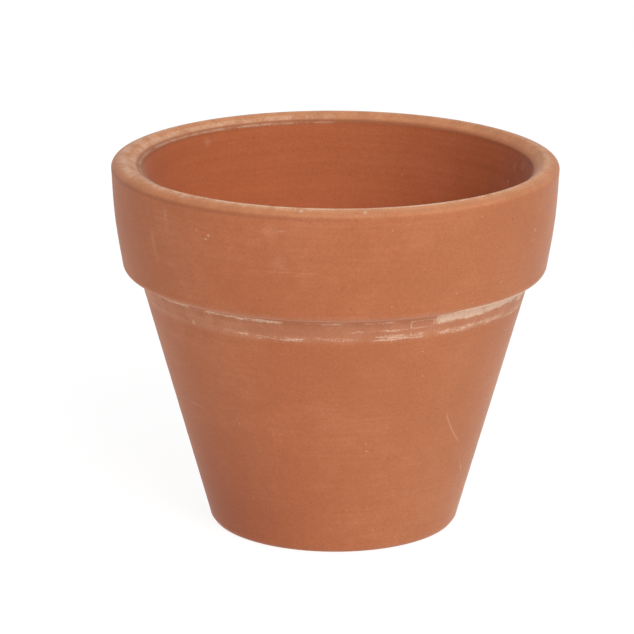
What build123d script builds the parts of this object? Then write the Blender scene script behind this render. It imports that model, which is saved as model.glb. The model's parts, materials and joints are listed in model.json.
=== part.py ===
from build123d import *

import os
from math import radians, tan

# Terracotta plant pot, pressed and turned as one piece of clay.
# Millimetres. The origin is the centre of the foot, and +Z runs up the pot's axis.

# Overall
pot_height = 125.8            # foot to the crest of the lip
rim_radius = 75.0             # outer edge of the lip, before it is rounded
foot_radius = 41.7            # outer edge of the foot, before it is rounded
foot_round = 2.5

# Rim band, the thick collar round the mouth
band_height = 37.6            # crest of the lip to the lower edge of the band
band_draft = 6.2              # degrees that the band leans in towards the foot
band_swell = 1.0              # how far its face swells out halfway up
band_swell_round = 150.0      # radius of that swell where it is roundest
band_overhang = 5.1           # how far its lower edge stands out from the body
band_underside_drop = 1.2     # how far the underside falls towards the body
band_edge_round = 3.0
neck_round = 1.0              # hollow corner where the underside meets the body

# Lip, the rounded top of the band
lip_crown = 1.6               # rise from the outer edge to the crest
lip_crest_inset = 4.6         # outer edge in to the crest
lip_edge_round = 2.2
lip_crest_round = 2.8
lip_inner_fall = 2.7          # crest down to the groove above the ledge

# Ledge, the narrow step left inside the mouth by the press
rim_wall = 9.7                # outer edge of the lip in to the top of the inner wall
ledge_width = 0.9
ledge_drop = 0.4
ledge_round = 0.4

# Inside
body_wall = 8.0               # measured level, from the neck down to the floor
floor_thickness = 9.0
floor_corner_round = 8.0
inner_neck_round = 30.0       # where the inner wall takes up the slope of the body

# Drain hole through the floor
drain_hole_radius = 10.0
drain_edge_round = 1.0

# Heights and radii that follow from the sizes above
lip_edge_height = pot_height - lip_crown
band_edge_height = pot_height - band_height
neck_height = band_edge_height - band_underside_drop
band_edge_radius = rim_radius - (lip_edge_height - band_edge_height) * tan(radians(band_draft))
band_middle_radius = (rim_radius + band_edge_radius) / 2 + band_swell
band_middle_height = (lip_edge_height + band_edge_height) / 2
neck_radius = band_edge_radius - band_overhang


def body_radius(height):
    """Outer radius of the tapered body at a height below the neck."""
    share = height / neck_height
    return foot_radius + (neck_radius - foot_radius) * share


def outer_corners():
    """Foot, body and rim band, as (radius, height, rounding) from the foot up."""
    return [
        (foot_radius, 0.0, foot_round),
        (neck_radius, neck_height, neck_round),
        (band_edge_radius, band_edge_height, band_edge_round),
        (band_middle_radius, band_middle_height, band_swell_round),
        (rim_radius, lip_edge_height, lip_edge_round),
    ]


def lip_corners():
    """Crest of the lip, then the groove and the ledge inside the mouth."""
    ledge_radius = rim_radius - rim_wall
    groove_height = pot_height - lip_inner_fall
    return [
        (rim_radius - lip_crest_inset, pot_height, lip_crest_round),
        (ledge_radius + ledge_width, groove_height, ledge_round),
        (ledge_radius, groove_height - ledge_drop, ledge_round),
    ]


def inner_corners():
    """Inner wall from the neck down to the floor."""
    return [
        (neck_radius - body_wall, neck_height, inner_neck_round),
        (body_radius(floor_thickness) - body_wall, floor_thickness, floor_corner_round),
    ]


def drain_hole_corners():
    """Upper and lower edge of the drain hole, which close the outline."""
    return [
        (drain_hole_radius, floor_thickness, drain_edge_round),
        (drain_hole_radius, 0.0, drain_edge_round),
    ]


def make_pot():
    """The wall's outline, turned once round the pot's axis."""
    corners = outer_corners() + lip_corners() + inner_corners() + drain_hole_corners()
    points = [(radius, 0.0, height) for radius, height, rounding in corners]
    roundings = [rounding for radius, height, rounding in corners]
    outline = FilletPolyline(points, radius=roundings, close=True)
    return revolve(make_face(outline), axis=Axis.Z)


os.makedirs("parts", exist_ok=True)
pot = make_pot()
export_step(pot, "parts/pot.step")
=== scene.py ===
import json
from math import cos, pi, radians, sin, tan

import bpy
import numpy as np
from mathutils import Matrix, Vector


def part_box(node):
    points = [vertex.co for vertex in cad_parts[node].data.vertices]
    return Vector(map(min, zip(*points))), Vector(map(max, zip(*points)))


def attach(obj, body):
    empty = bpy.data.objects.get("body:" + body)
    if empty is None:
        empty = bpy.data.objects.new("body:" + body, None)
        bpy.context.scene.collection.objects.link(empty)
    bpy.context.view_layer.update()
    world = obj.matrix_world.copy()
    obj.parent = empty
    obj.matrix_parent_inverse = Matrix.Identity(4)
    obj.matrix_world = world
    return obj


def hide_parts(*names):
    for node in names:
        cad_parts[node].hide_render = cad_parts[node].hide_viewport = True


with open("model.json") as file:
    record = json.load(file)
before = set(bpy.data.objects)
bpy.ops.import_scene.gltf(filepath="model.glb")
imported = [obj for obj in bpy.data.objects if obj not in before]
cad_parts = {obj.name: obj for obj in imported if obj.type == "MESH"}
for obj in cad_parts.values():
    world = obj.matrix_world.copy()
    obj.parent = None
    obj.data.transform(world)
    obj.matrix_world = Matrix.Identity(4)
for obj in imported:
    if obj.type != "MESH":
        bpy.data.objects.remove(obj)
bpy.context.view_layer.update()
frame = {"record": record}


# ---------------------------------------------------------------------------
# The pot: its wall. One piece of red earthenware, pressed into a turning
# mould and fired once, unglazed. A tapered body carries a thick band round the
# mouth with a rounded lip, and stands on a flat foot with one drain hole.
# ---------------------------------------------------------------------------

MM = 0.001
pot_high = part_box("pot")[1]
drain_hole = next(mount for mount in frame["record"]["mounts"] if mount["name"] == "drain_hole")

# The rounding of the crest and of the lip's edge takes a little off the height and the width
CREST_LOSS = 0.292
EDGE_LOSS = 0.0845

pot_height = pot_high[2] / MM + CREST_LOSS
rim_radius = pot_high[0] / MM + EDGE_LOSS
foot_radius = 41.7
foot_round = 2.5

band_height = 37.6
band_draft = radians(6.2)
band_swell = 1.0
band_swell_round = 150.0
band_overhang = 5.1
band_underside_drop = 1.2
band_edge_round = 3.0
neck_round = 1.0

lip_crown = 1.6
lip_crest_inset = 4.6
lip_edge_round = 2.2
lip_crest_round = 2.8
lip_inner_fall = 2.7

rim_wall = 9.7
ledge_width = 0.9
ledge_drop = 0.4
ledge_round = 0.4

body_wall = 8.0
floor_thickness = 9.0
floor_corner_round = 8.0
inner_neck_round = 30.0

drain_hole_radius = drain_hole["dims"]["r_mm"]
drain_edge_round = 1.0

lip_edge_height = pot_height - lip_crown
band_edge_height = pot_height - band_height
neck_height = band_edge_height - band_underside_drop
band_edge_radius = rim_radius - (lip_edge_height - band_edge_height) * tan(band_draft)
band_middle_radius = (rim_radius + band_edge_radius) / 2 + band_swell
band_middle_height = (lip_edge_height + band_edge_height) / 2
neck_radius = band_edge_radius - band_overhang
crest_radius = rim_radius - lip_crest_inset
ledge_radius = rim_radius - rim_wall
groove_height = pot_height - lip_inner_fall
body_slope = (neck_radius - foot_radius) / neck_height
inner_floor_radius = foot_radius + body_slope * floor_thickness - body_wall

wall_corners = [
    (drain_hole_radius, 0.0, drain_edge_round),
    (foot_radius, 0.0, foot_round),
    (neck_radius, neck_height, neck_round),
    (band_edge_radius, band_edge_height, band_edge_round),
    (band_middle_radius, band_middle_height, band_swell_round),
    (rim_radius, lip_edge_height, lip_edge_round),
    (crest_radius, pot_height, lip_crest_round),
    (ledge_radius + ledge_width, groove_height, ledge_round),
    (ledge_radius, groove_height - ledge_drop, ledge_round),
    (neck_radius - body_wall, neck_height, inner_neck_round),
    (inner_floor_radius, floor_thickness, floor_corner_round),
    (drain_hole_radius, floor_thickness, drain_edge_round),
]


def rounded_outline(corners, arc_steps=24):
    """Closed outline through the corners, each replaced by an arc of its rounding."""
    points = []
    for index, (radius, height, rounding) in enumerate(corners):
        corner = np.array([radius, height])
        before = np.array(corners[index - 1][:2]) - corner
        after = np.array(corners[(index + 1) % len(corners)][:2]) - corner
        before /= np.linalg.norm(before)
        after /= np.linalg.norm(after)
        half_angle = np.arccos(np.dot(before, after)) / 2
        middle = (before + after) / np.linalg.norm(before + after)
        centre = corner + middle * rounding / sin(half_angle)
        start = corner + before * rounding / tan(half_angle) - centre
        end = corner + after * rounding / tan(half_angle) - centre
        turn = np.arctan2(start[0] * end[1] - start[1] * end[0], np.dot(start, end))
        for step in np.linspace(0, turn, arc_steps):
            points.append(centre + [start[0] * cos(step) - start[1] * sin(step),
                                    start[0] * sin(step) + start[1] * cos(step)])
    return np.array(points)


outline = rounded_outline(wall_corners)
outline = np.vstack([outline, outline[:1]])
travel = np.concatenate([[0], np.cumsum(np.linalg.norm(np.diff(outline, axis=0), axis=1))])


def middle_of_wall(height):
    """Radius, at a height, of the cone that runs down the middle of the body's wall."""
    return foot_radius - body_wall / 2 + body_slope * height


# Rings of the mesh stand closer where the shape is finer, and wide apart under the foot.
# Spacings are in millimetres along the outline, before the rings are shared out over it.
RINGS = 256
SEGMENTS = 384
walk = np.linspace(0, travel[-1], 20001)
walk_radius = np.interp(walk, travel, outline[:, 0])
walk_height = np.interp(walk, travel, outline[:, 1])
walk_inside = walk_radius < middle_of_wall(walk_height)
seen_inside_height = 70
spacing = np.where(walk_inside, 2.2, 1.5)
spacing[walk_inside & (walk_height > seen_inside_height)] = 0.75
spacing[(walk_height > band_edge_height) & ~walk_inside] = 1.2
spacing[(abs(walk_height - neck_height + 1.5) < 8) & ~walk_inside] = 0.5
spacing[(walk_height > groove_height - 1.5) & (walk_radius > ledge_radius - 1)] = 0.33
spacing[walk_height < 0.01] = 4.0
filled = np.concatenate([[0], np.cumsum(1 / spacing[1:])])
ring_walk = np.interp(np.linspace(0, filled[-1], RINGS, endpoint=False), filled, walk)
ring_radius = np.interp(ring_walk, travel, outline[:, 0])[:, None]
ring_height = np.interp(ring_walk, travel, outline[:, 1])[:, None]
around = (np.arange(SEGMENTS) * 2 * pi / SEGMENTS)[None, :]


def fade(value, start, end):
    """0 at the start, 1 at the end, and smooth between them."""
    share = np.clip((value - start) / (end - start), 0, 1)
    return share * share * (3 - 2 * share)


# How far the rings belong to the inside of the wall, the outside, or the lip
on_lip = fade(ring_height, groove_height - 1.0, groove_height + 0.5) * (ring_radius > ledge_radius - 1)
cone_gap = ring_radius - middle_of_wall(ring_height)
on_inside = (cone_gap < 0) * (ring_height > floor_thickness - 1) * (1 - on_lip)
on_outside = (cone_gap > 0) * (1 - on_lip) * fade(ring_height, 1.5, 5.0)

# Turning marks: shallow rings left by the press head, each a little out of true
turner = np.random.default_rng(4)


def turning_rings(position, pitch, depth, sway=1.0):
    """Rings of one pitch, whose heights sway as they go round."""
    start, first, second = turner.uniform(0, 2 * pi, 3)
    wander = sway * (0.7 * np.sin(around + first) + 0.4 * np.sin(2 * around + second))
    strength = 0.75 + 0.25 * np.sin(3 * around + second + position / 9)
    return depth * strength * (np.sin(2 * pi * position / pitch + start + wander) - 1) / 2


wall_position = ring_height + 0.5 * ring_radius
relief = np.zeros((RINGS, SEGMENTS))
for pitch, depth in ((1.9, 0.020), (3.1, 0.040), (5.3, 0.045), (11.0, 0.080)):
    relief += on_inside * turning_rings(wall_position, pitch, depth)
for pitch, depth in ((2.9, 0.008), (4.7, 0.014), (9.5, 0.035)):
    relief += on_outside * turning_rings(wall_position, pitch, depth)
relief += on_lip * turning_rings(ring_radius, 2.4, 0.05)

# A groove and a low ridge run round the body a little below the band, left by the mould's joint
joint_drop = 4.9
ridge_drop = 1.9
groove_depth = 0.04
ridge_rise = 0.03
groove_line = neck_height - joint_drop + 0.25 * np.sin(around + 0.6)
relief -= on_outside * groove_depth * np.exp(-(((ring_height - groove_line) / 0.55) ** 2))
relief += on_outside * ridge_rise * np.exp(-(((ring_height - groove_line + ridge_drop) / 0.9) ** 2))

# The clay leaves the mould slightly out of round, and the press head sits a little to one side
out_of_round = 0.12
press_head_aside = 0.9
relief -= on_outside * out_of_round * (1 + np.cos(2 * around + 1.1)) / 2
aside = fade(crest_radius - ring_radius, 0, lip_crest_inset) * (cone_gap < 0)
aside = aside * fade(ring_height, 35, 95) * press_head_aside

# Relief moves the clay square to the outline, and never out of the solid's own box
ring_places = np.hstack([ring_radius, ring_height])
neighbour_gap = np.roll(ring_places, -1, axis=0) - np.roll(ring_places, 1, axis=0)
along = neighbour_gap / np.linalg.norm(neighbour_gap, axis=1, keepdims=True)
clay_radius = ring_radius + relief * along[:, 1:2]
clay_height = np.clip(ring_height - relief * along[:, 0:1], 0, pot_high[2] / MM)
clay_radius = np.minimum(clay_radius, pot_high[0] / MM)

# The wall goes once round; angle 0 faces -Y
x = clay_radius * np.sin(around) + aside
y = -clay_radius * np.cos(around)
places = np.stack([x, y, clay_height], axis=-1).reshape(-1, 3) * MM
ring = np.arange(RINGS)[:, None] * SEGMENTS
next_ring = (np.arange(RINGS)[:, None] + 1) % RINGS * SEGMENTS
side = np.arange(SEGMENTS)[None, :]
next_side = (side + 1) % SEGMENTS
faces = np.stack([ring + side, ring + next_side, next_ring + next_side, next_ring + side], axis=-1)

mesh = bpy.data.meshes.new("pot_clay")
mesh.from_pydata(places.tolist(), [], faces.reshape(-1, 4).tolist())
mesh.polygons.foreach_set("use_smooth", [True] * len(mesh.polygons))

# The skin of the wall laid out flat, for the baked copy: round the pot, and along the outline
skin = mesh.uv_layers.new(name="OFBake")
walk_share = np.append(ring_walk, travel[-1]) / travel[-1]
across = np.stack([side, side + 1, side + 1, side], axis=-1) / SEGMENTS
up = np.stack([walk_share[:-1], walk_share[:-1], walk_share[1:], walk_share[1:]], axis=-1)
skin_places = np.stack(np.broadcast_arrays(across, up[:, None, :]), axis=-1)
skin.data.foreach_set("uv", skin_places.reshape(-1).astype(np.float32))

pot = bpy.data.objects.new("pot_clay", mesh)
bpy.context.scene.collection.objects.link(pot)


# ---------------------------------------------------------------------------
# The pot: its clay. Iron-red body clay with fine sand in it, turned to a dry
# and faintly streaked skin. Lime has dried out of it under the band, and
# handling has rubbed the lip pale and left a few scuffs. Light and shade are
# painted into the colour too: painted light on the lip top, along its crest,
# under the band and on the right, and painted shade low on the left, inside
# on the right and in the lip's corners.
# ---------------------------------------------------------------------------

class Shade:
    """One value in a material. Arithmetic on it adds the Math nodes that it needs."""

    def __init__(self, socket):
        self.socket = socket

    def node(self, kind, settings, sockets, output=0):
        """Adds a node of a kind: its settings first, then its sockets' values or links."""
        tree = self.socket.id_data
        made = tree.nodes.new("ShaderNode" + kind)
        for name, value in settings.items():
            setattr(made, name, value)
        for name, value in sockets.items():
            if isinstance(value, Shade):
                tree.links.new(value.socket, made.inputs[name])
            else:
                made.inputs[name].default_value = value
        return Shade(made.outputs[output])

    def math(self, operation, first, second=0.0):
        return self.node("Math", {"operation": operation}, {0: first, 1: second})

    def __add__(self, other):
        return self.math("ADD", self, other)

    def __sub__(self, other):
        return self.math("SUBTRACT", self, other)

    def __mul__(self, other):
        return self.math("MULTIPLY", self, other)

    def __radd__(self, other):
        return self.math("ADD", other, self)

    def __rsub__(self, other):
        return self.math("SUBTRACT", other, self)

    def __rmul__(self, other):
        return self.math("MULTIPLY", other, self)

    def output(self, name):
        """Another output of the node that gave this value."""
        return Shade(self.socket.node.outputs[name])

    def size(self):
        return self.math("ABSOLUTE", self)

    def root(self):
        return self.math("SQRT", self)

    def higher(self, other):
        return self.math("MAXIMUM", self, other)

    def rise(self, low, high):
        """0 below the low value, 1 above the high one, and smooth between them."""
        return self.node("MapRange", {"interpolation_type": "SMOOTHSTEP"},
                         {"Value": self, "From Min": low, "From Max": high})

    def near(self, middle, half_width, soft):
        """1 within half a width of the middle, and 0 a soft edge further out."""
        return 1 - (self - middle).size().rise(half_width, half_width + soft)

    def stretched(self, amounts):
        return self.node("VectorMath", {"operation": "MULTIPLY"}, {0: self, 1: amounts})

    def shifted(self, other):
        return self.node("VectorMath", {"operation": "ADD"}, {0: self, 1: other})

    def noise(self, grain_mm, detail=2.0, roughness=0.5, output=0):
        """Cloudy noise at this place, whose lumps are about a grain's size across."""
        return self.node("TexNoise", {}, {"Vector": self, "Scale": 1 / grain_mm, "Detail": detail,
                                          "Roughness": roughness}, output)

    def toward(self, amount, other):
        """This colour mixed with another by an amount."""
        return self.node("Mix", {"data_type": "RGBA"}, {0: amount, 6: self, 7: other}, output=2)


clay = bpy.data.materials.new("bare_terracotta")
clay.use_nodes = True
clay_tree = clay.node_tree
clay_shader = clay_tree.nodes["Principled BSDF"]
clay_place = Shade(clay_tree.nodes.new("ShaderNodeTexCoord").outputs["Object"])

# Where a point of the clay is: in millimetres, and as radius, height and degrees round the pot
place = clay_place.stretched((1 / MM, 1 / MM, 1 / MM))
place_x = place.node("SeparateXYZ", {}, {0: place})
place_y = place_x.output("Y")
height = place_x.output("Z")
radius = (place_x * place_x + place_y * place_y).root()
degrees_round = place_x.math("ARCTAN2", place_x, place_y * -1) * (180 / pi)
along_wall = height + 0.5 * radius
below_groove = 1 - height.rise(groove_height - 1.5, groove_height - 0.5)
inside = (1 - (radius - middle_of_wall(height)).rise(-1, 1)) * below_groove
outside = 1 - inside
past_ledge = radius.rise(ledge_radius - 0.5, ledge_radius + 0.7)
lip_top = height.rise(groove_height - 0.3, groove_height + 0.9) * past_ledge

# Clay body: broad clouds from the fire, smaller mottling, turned streaks, and the sand's grain
clouds = place.noise(30, 2.0)
mottle = place.noise(6.0, 3.0, 0.6)
turned_squeeze = 0.055
turned = place.node("CombineXYZ", {},
                    {0: place_x * turned_squeeze, 1: place_y * turned_squeeze, 2: along_wall})
streaks = turned.noise(1.1, 3.0, 0.65)
wide_streaks = turned.noise(4.5, 2.0, 0.5)
sand = place.noise(0.42, 2.0, 0.6)
coarse_sand = place.noise(0.95, 1.0)

brightness = (
    1
    + (clouds - 0.5) * 0.14
    + (mottle - 0.5) * 0.10
    + (streaks - 0.5) * (0.07 + 0.07 * inside)
    + (wide_streaks - 0.5) * (0.05 + 0.05 * inside)
    + (sand - 0.5) * (0.54 - 0.12 * inside)
    + (coarse_sand - 0.5) * 0.20
)

outside_red = (0.405, 0.121, 0.0455, 1)
inside_red = (0.500, 0.138, 0.0490, 1)
pale_red = (0.500, 0.210, 0.112, 1)
painted_light_tan = (0.520, 0.235, 0.100, 1)
rubbed_and_lit_red = (0.665, 0.300, 0.143, 1)
painted_shade_red = (0.250, 0.045, 0.014, 1)
lime_and_painted_light_white = (0.720, 0.495, 0.355, 1)
iron_and_shade_dark = (0.160, 0.055, 0.028, 1)

colour = inside.node("Mix", {"data_type": "RGBA"}, {0: inside, 6: outside_red, 7: inside_red}, output=2)

# Dust in the skin: paler patches where the slip has dried thicker
dusty = (clouds * 0.5 + mottle * 0.3 + streaks * 0.4).rise(0.56, 0.80)
colour = colour.toward(dusty * 0.20, pale_red)

# Painted shade darkens the lower left of the outside and the right side of the inside, and painted
# light makes the outside's right side a little paler and yellower
painted_shade_lower_left = degrees_round.near(-70, 18, 60) * (1 - height.rise(8, 62)) * outside
painted_light_right = degrees_round.near(72, 30, 45) * outside
painted_shade_inside_right = degrees_round.near(105, 30, 50) * inside
colour = colour.toward(painted_shade_lower_left * 0.48, painted_shade_red)
colour = colour.toward(painted_shade_inside_right * 0.22, painted_shade_red)
colour = colour.toward(painted_light_right * 0.16, painted_light_tan)

# Specks: a few iron grains and a few lime grains, each in its own cell of the clay
grain_cell = 2.6
grains = place.node("TexVoronoi", {"feature": "F1"},
                    {"Vector": place, "Scale": 1 / grain_cell, "Randomness": 1.0})
grain_kind = grains.node("SeparateColor", {}, {0: grains.output("Color")})
iron_specks = (1 - grains.rise(0.07, 0.16)) * grain_kind.rise(0.80, 0.84)
lime_specks = (1 - grains.rise(0.05, 0.12)) * (1 - grain_kind.rise(0.05, 0.07))
colour = colour.toward(iron_specks * 0.38, iron_and_shade_dark)
colour = colour.toward(lime_specks * 0.40, lime_and_painted_light_white)

# Lip top: partly real wear, where handling has paled it, and partly painted light from above, a little
# less towards its outer edge, which turns away from that light
outer_part = radius.rise(crest_radius + 1.2, rim_radius - 0.4)
rubbed_and_top_lit = lip_top * (0.78 + 0.22 * mottle.rise(0.40, 0.62)) * (1 - 0.55 * outer_part)
colour = colour.toward(rubbed_and_top_lit * 0.80, rubbed_and_lit_red)

# The crest is chalky, and a painted highlight along it makes it palest in front, with a haze beside it
# on the left
gritty = mottle * 0.5 + sand * 0.5
front_highlight_side = degrees_round.near(2, 38, 22)
left_lip = degrees_round.near(-65, 35, 35)
crest_chalk_and_highlight = radius.near(crest_radius + 0.3, 0.5, 0.6) * lip_top * gritty.rise(0.38, 0.54)
haze = radius.near(crest_radius, 1.2, 1.8) * lip_top * left_lip * mottle.rise(0.40, 0.62)
colour = colour.toward(crest_chalk_and_highlight * (0.26 + 0.52 * front_highlight_side), lime_and_painted_light_white)
colour = colour.toward(haze * 0.36, lime_and_painted_light_white)

# Round one side, the lip's inner edge and the bead of the ledge are chalky
chalky_side = degrees_round.near(-125, 30, 45)
inner_edge = radius.near(crest_radius - lip_crest_round, 0.45, 0.9)
inner_edge = inner_edge * height.rise(groove_height, groove_height + 0.5)
bead = radius.near(ledge_radius + 0.1, 0.2, 0.5) * height.near(groove_height - 0.3, 0.3, 0.6)
chalk = (inner_edge + bead) * chalky_side * gritty.rise(0.42, 0.58)
colour = colour.toward(chalk * 0.50, lime_and_painted_light_white)

# Painted shade under the lip's outer edge and in the mouth's groove, and a darker line along the body's
# groove
lip_edge_painted_shade = height.near(lip_edge_height - 1.2, 0.3, 0.9) * outside * degrees_round.near(-62, 40, 55)
mouth_groove_painted_shade = radius.near(ledge_radius + 0.8, 0.25, 0.5) * height.near(groove_height, 0.5, 0.6)
body_groove_darkening = height.near(neck_height - joint_drop, 0.25, 0.5) * outside
colour = colour.toward(lip_edge_painted_shade * 0.20, iron_and_shade_dark)
colour = colour.toward(mouth_groove_painted_shade * 0.20, iron_and_shade_dark)
colour = colour.toward(body_groove_darkening * 0.06, iron_and_shade_dark)

# The heights of lines waver with the mottling, and fine streaks break them up
uneven_height = height + (mottle - 0.5) * 1.0 + (place.noise(2.2, 1.0) - 0.5) * 0.7
fine_streaks = turned.stretched((2.0, 2.0, 1.0)).noise(0.55, 2.0, 0.6)
broken = fine_streaks * 0.50 + mottle * 0.25 + sand * 0.45


def level_line(middle, half_width, from_degrees, to_degrees, strength):
    """A soft-edged line round the outside, between two angles."""
    middle_degrees = (from_degrees + to_degrees) / 2
    half_degrees = (to_degrees - from_degrees) / 2
    lies = uneven_height.near(middle, half_width * 0.35, half_width * 0.9)
    return lies * degrees_round.near(middle_degrees, half_degrees * 0.7, half_degrees * 0.6) * strength


# Lime that has dried in lines under the band: height, half width, from and to degrees, strength
lime_lines = [
    (86.8, 2.2, -96, -66, 1.20),
    (86.8, 1.8, -66, -46, 0.80),
    (85.9, 0.6, -40, -14, 0.90),
    (86.2, 0.5, -9, 2, 0.60),
    (86.1, 0.5, 8, 17, 0.65),
    (85.3, 2.1, 30, 49, 1.25),
    (86.0, 2.5, 46, 80, 1.22),
    (88.1, 1.1, 34, 86, 1.30),
    (83.4, 1.2, 66, 92, 0.85),
    (83.2, 0.45, 2, 24, 0.60),
    (85.8, 0.4, 22, 30, 0.60),
    (83.3, 0.4, 22, 30, 0.60),
    (80.8, 0.8, -38, -24, 0.42),
    (80.1, 1.0, -24, -8, 0.62),
    (80.6, 0.8, -8, 8, 0.45),
    (80.5, 1.4, 11, 28, 0.66),
    (80.4, 1.5, 30, 60, 0.66),
    (79.4, 1.1, 58, 90, 0.60),
    (80.8, 0.8, -72, -58, 0.42),
    (84.6, 1.6, 104, 150, 0.80),
    (85.4, 0.9, -168, -118, 0.75),
    (80.4, 0.8, -112, -84, 0.50),
    (80.5, 1.2, 132, 176, 0.70),
]
lime_field = height * 0
for line in lime_lines:
    lime_field = lime_field.higher(level_line(*line))
below_band = outside * (1 - height.rise(band_edge_height + 0.2, band_edge_height + 1.2))
lime = (lime_field * 1.15 + (broken - 0.60) * 3.4 - 0.42).rise(0.0, 0.95) * below_band

# Under the band, a pale film all round between the lines: partly a thin haze of lime, and partly
# painted light that lifts the shade under the band's overhang. The lines lie on the film
lime_film_and_painted_light = height.near(neck_height - 2.8, 3.4, 3.0) * outside * (0.7 + 0.3 * mottle.rise(0.40, 0.60))
colour = colour.toward(lime_film_and_painted_light * 0.15, pale_red)
colour = colour.toward(lime_film_and_painted_light * 0.10, lime_and_painted_light_white)
colour = colour.toward(lime * 0.84, lime_and_painted_light_white)

# Scuffs: pale spots where the wall was knocked, thin scratches, and a few level rubs.
# A noise moves the places of a spot about by up to its roughening, so that its edge is ragged.
ROUGHENING = 1.8
rough_place = place.shifted(place.noise(1.3, 2.0, 0.6, output=1).stretched((ROUGHENING,) * 3))


def on_wall(degrees, at_height, at_radius):
    """A point of the wall, moved by the middle of the roughening."""
    turn = radians(degrees)
    moved = ROUGHENING / 2
    return (at_radius * sin(turn) + moved, -at_radius * cos(turn) + moved, at_height + moved)


def spot(degrees, at_height, at_radius, spread):
    """A rough-edged spot of a size."""
    away = rough_place.node("VectorMath", {"operation": "DISTANCE"},
                            {0: rough_place, 1: on_wall(degrees, at_height, at_radius)}, output="Value")
    return 1 - away.rise(spread * 0.2, spread)


def scratch(top, bottom, degrees, lean, bow, half_width):
    """A thin line down the outside: lean and bow are degrees a millimetre, and that squared."""
    below = top - uneven_height * 0.2 - height * 0.8
    sideways = degrees_round - degrees - below * lean - below * below * bow
    off_line = (sideways * radius * (pi / 180)).size()
    lies = 1 - off_line.rise(half_width * 0.3, half_width * 1.6)
    return lies * height.near((top + bottom) / 2, (top - bottom) * 0.3, (top - bottom) * 0.25)


# Degrees round the pot, height, radius, size, strength
pale_spots = [
    (-33.7, 113.2, 74.3, 0.8, 0.32),
    (-32.8, 114.2, 74.4, 0.6, 0.32),
    (-16.0, 118.0, 74.7, 4.0, 0.05),
    (-14.0, 108.0, 74.0, 4.2, 0.06),
    (61.5, 109.8, 74.2, 0.8, 0.32),
    (61.2, 106.3, 73.8, 0.7, 0.28),
    (48.0, 95.7, 72.3, 0.9, 0.20),
    (11.8, 39.0, 52.6, 0.6, 0.35),
    (-45.8, 80.6, 64.2, 1.0, 0.35),
    (-8.5, 125.0, 72.6, 1.1, 0.70),
    (-10.0, 125.1, 72.2, 0.8, 0.50),
    (7.5, 124.8, 73.1, 1.0, 0.55),
    (-42.5, 125.1, 72.4, 1.8, 0.30),
    (-38.0, 125.2, 71.6, 1.4, 0.25),
    (-47.0, 125.2, 71.8, 1.4, 0.25),
    (-66.0, 1.2, 41.6, 2.4, 0.20),
    (-60.0, 0.8, 41.2, 2.0, 0.20),
    (112.8, 111.3, 63.9, 0.9, 0.45),
    (104.0, 119.0, 65.3, 2.6, 0.10),
    (110.0, 117.5, 65.0, 2.4, 0.09),
    (-136.0, 119.5, 64.6, 2.6, 0.14),
    (164.0, 103.0, 73.4, 1.0, 0.35),
    (-132.0, 52.0, 56.2, 1.2, 0.30),
]
scuffs = height * 0
for degrees, at_height, at_radius, spread, strength in pale_spots:
    scuffs = scuffs.higher(spot(degrees, at_height, at_radius, spread) * strength)

# Top and bottom height, degrees at the top, lean, bow, half width, strength
scratches = [
    (49.5, 35.0, 41.8, 0.45, 0.030, 0.34, 0.24),
    (31.5, 21.0, 55.6, 0.80, 0.0, 0.30, 0.18),
    (122.0, 100.0, -54.6, 0.13, 0.0, 0.9, 0.05),
    (121.5, 112.0, -47.3, 0.06, 0.0, 0.8, 0.05),
    (85.8, 83.2, 22.3, 0.0, 0.0, 0.30, 0.40),
    (85.8, 83.2, 29.3, 0.0, 0.0, 0.30, 0.30),
    (70.0, 52.0, 148.0, 0.50, 0.02, 0.30, 0.18),
    (112.0, 96.0, -149.0, -0.30, 0.01, 0.35, 0.16),
]
for top, bottom, degrees, lean, bow, half_width, strength in scratches:
    line = scratch(top, bottom, degrees, lean, bow, half_width) * outside
    scuffs = scuffs.higher(line * mottle.rise(0.35, 0.55) * strength)

# Height, half width, from and to degrees, strength
level_scratches = [
    (104.8, 0.35, -17, -5, 0.16),
    (48.2, 0.35, -67, -54, 0.16),
    (118.6, 0.35, -18, -12, 0.14),
]
for line in level_scratches:
    scuffs = scuffs.higher(level_line(*line) * outside * broken.rise(0.50, 0.64))
colour = colour.toward(scuffs, lime_and_painted_light_white)

# A dark pock where a grain of grit has dropped out
pock = spot(-11.0, 57.7, 57.8, 0.7)
colour = colour.toward(pock * 0.30, iron_and_shade_dark)

colour = colour.node("VectorMath", {"operation": "SCALE"}, {0: colour, "Scale": brightness})

# Feel of the surface: sandy, dry, and roughest where lime stands on it
dryness = 0.80 + (streaks - 0.5) * 0.15 + (mottle - 0.5) * 0.10 + lime * 0.10 - rubbed_and_top_lit * 0.08
surface_mm = (
    sand * 0.016
    + coarse_sand * 0.016
    + streaks * 0.016
    + lime * sand * 0.05
    - iron_specks * 0.03
    - scuffs * 0.05
    - pock * 0.12
)
skin_normal = surface_mm.node("Bump", {}, {"Strength": 1.0, "Distance": MM, "Height": surface_mm})

clay_tree.links.new(colour.socket, clay_shader.inputs["Base Color"])
clay_tree.links.new(dryness.socket, clay_shader.inputs["Roughness"])
clay_tree.links.new(skin_normal.socket, clay_shader.inputs["Normal"])
clay_shader.inputs["Specular IOR Level"].default_value = 0.35
clay_shader.inputs["Sheen Weight"].default_value = 0.25
clay_shader.inputs["Sheen Roughness"].default_value = 0.35
clay_shader.inputs["Sheen Tint"].default_value = (1.0, 0.88, 0.80, 1)
mesh.materials.append(clay)

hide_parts("pot")
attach(pot, "root")


# ---------------------------------------------------------------------------
# Floor and light: a matt white table, lit from within so that it stays white,
# in a pale room whose ceiling is bright. A tall soft lamp stands in front, a
# little to the right.
# ---------------------------------------------------------------------------

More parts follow.
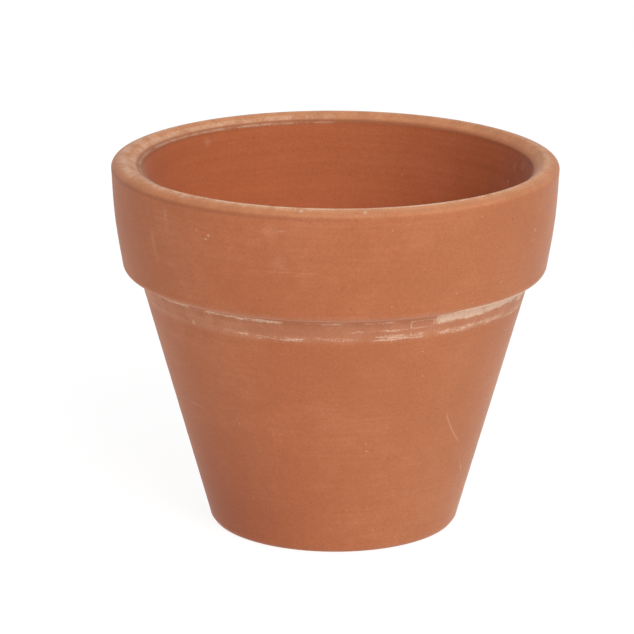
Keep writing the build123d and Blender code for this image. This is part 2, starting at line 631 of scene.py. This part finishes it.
floor_mesh = bpy.data.meshes.new("floor")
reach = 4
corners = [(-reach, -reach, 0), (reach, -reach, 0), (reach, reach, 0), (-reach, reach, 0)]
floor_mesh.from_pydata(corners, [], [(0, 1, 2, 3)])
floor = bpy.data.objects.new("floor", floor_mesh)
bpy.context.scene.collection.objects.link(floor)
table_white = bpy.data.materials.new("matt_white_table")
table_white.use_nodes = True
table_shader = table_white.node_tree.nodes["Principled BSDF"]
table_shader.inputs["Base Color"].default_value = (0.20, 0.20, 0.20, 1)
table_shader.inputs["Roughness"].default_value = 1.0
table_shader.inputs["Specular IOR Level"].default_value = 0.0
table_shader.inputs["Emission Color"].default_value = (1, 1, 1, 1)
table_shader.inputs["Emission Strength"].default_value = 0.88
floor_mesh.materials.append(table_white)

room = bpy.data.worlds.new("white_room")
room.use_nodes = True
room_tree = room.node_tree
room_light = room_tree.nodes["Background"]
facing = Shade(room_tree.nodes.new("ShaderNodeTexCoord").outputs["Generated"])
facing_right = facing.node("SeparateXYZ", {}, {0: facing})
facing_back = facing_right.output("Y")
facing_up = facing_right.output("Z")
wall_light = 0.12 + 0.20 * facing_back.rise(-0.2, 0.8)
ceiling_light = 0.64
overhead = facing_up.rise(0.25, 0.60)
skirting = 1 - facing_up.rise(0.05, 0.12)
room_strength = overhead * ceiling_light + (1 - overhead) * wall_light
room_strength = room_strength * (1 - skirting) + skirting
room_light.inputs["Color"].default_value = (1, 1, 1, 1)
room_tree.links.new(room_strength.socket, room_light.inputs["Strength"])
bpy.context.scene.world = room

lamp = bpy.data.lights.new("key_lamp", "AREA")
lamp.shape = "RECTANGLE"
lamp.size = 0.9
lamp.size_y = 1.2
lamp.energy = 18.9
lamp_holder = bpy.data.objects.new("key_lamp", lamp)
lamp_place = Vector((0.57, -1.34, 1.06))
lamp_aim = Vector((0, 0, 0.08))
lamp_holder.location = lamp_place
lamp_holder.rotation_euler = (lamp_aim - lamp_place).to_track_quat("-Z", "Y").to_euler()
bpy.context.scene.collection.objects.link(lamp_holder)

bpy.context.scene.view_settings.view_transform = "Standard"


# ---------------------------------------------------------------------------
# Camera: a long lens a little above the rim, which looks down into the mouth.
# ---------------------------------------------------------------------------

camera_data = bpy.data.cameras.new("camera")
camera_data.lens = 204.4
camera_data.sensor_width = 36.0
camera = bpy.data.objects.new("camera", camera_data)
stand_off = 1.2044
elevation = radians(13.4)
pan = radians(0.290)
tilt = radians(74.114)
roll = radians(0.218)
rim_middle = Vector((0, 0, lip_edge_height * MM))
camera_place = rim_middle + Vector((0, -cos(elevation), sin(elevation))) * stand_off
camera.matrix_world = (
    Matrix.Translation(camera_place)
    @ Matrix.Rotation(pan, 4, "Z")
    @ Matrix.Rotation(tilt, 4, "X")
    @ Matrix.Rotation(roll, 4, "Z")
)
bpy.context.scene.collection.objects.link(camera)
bpy.context.scene.camera = camera
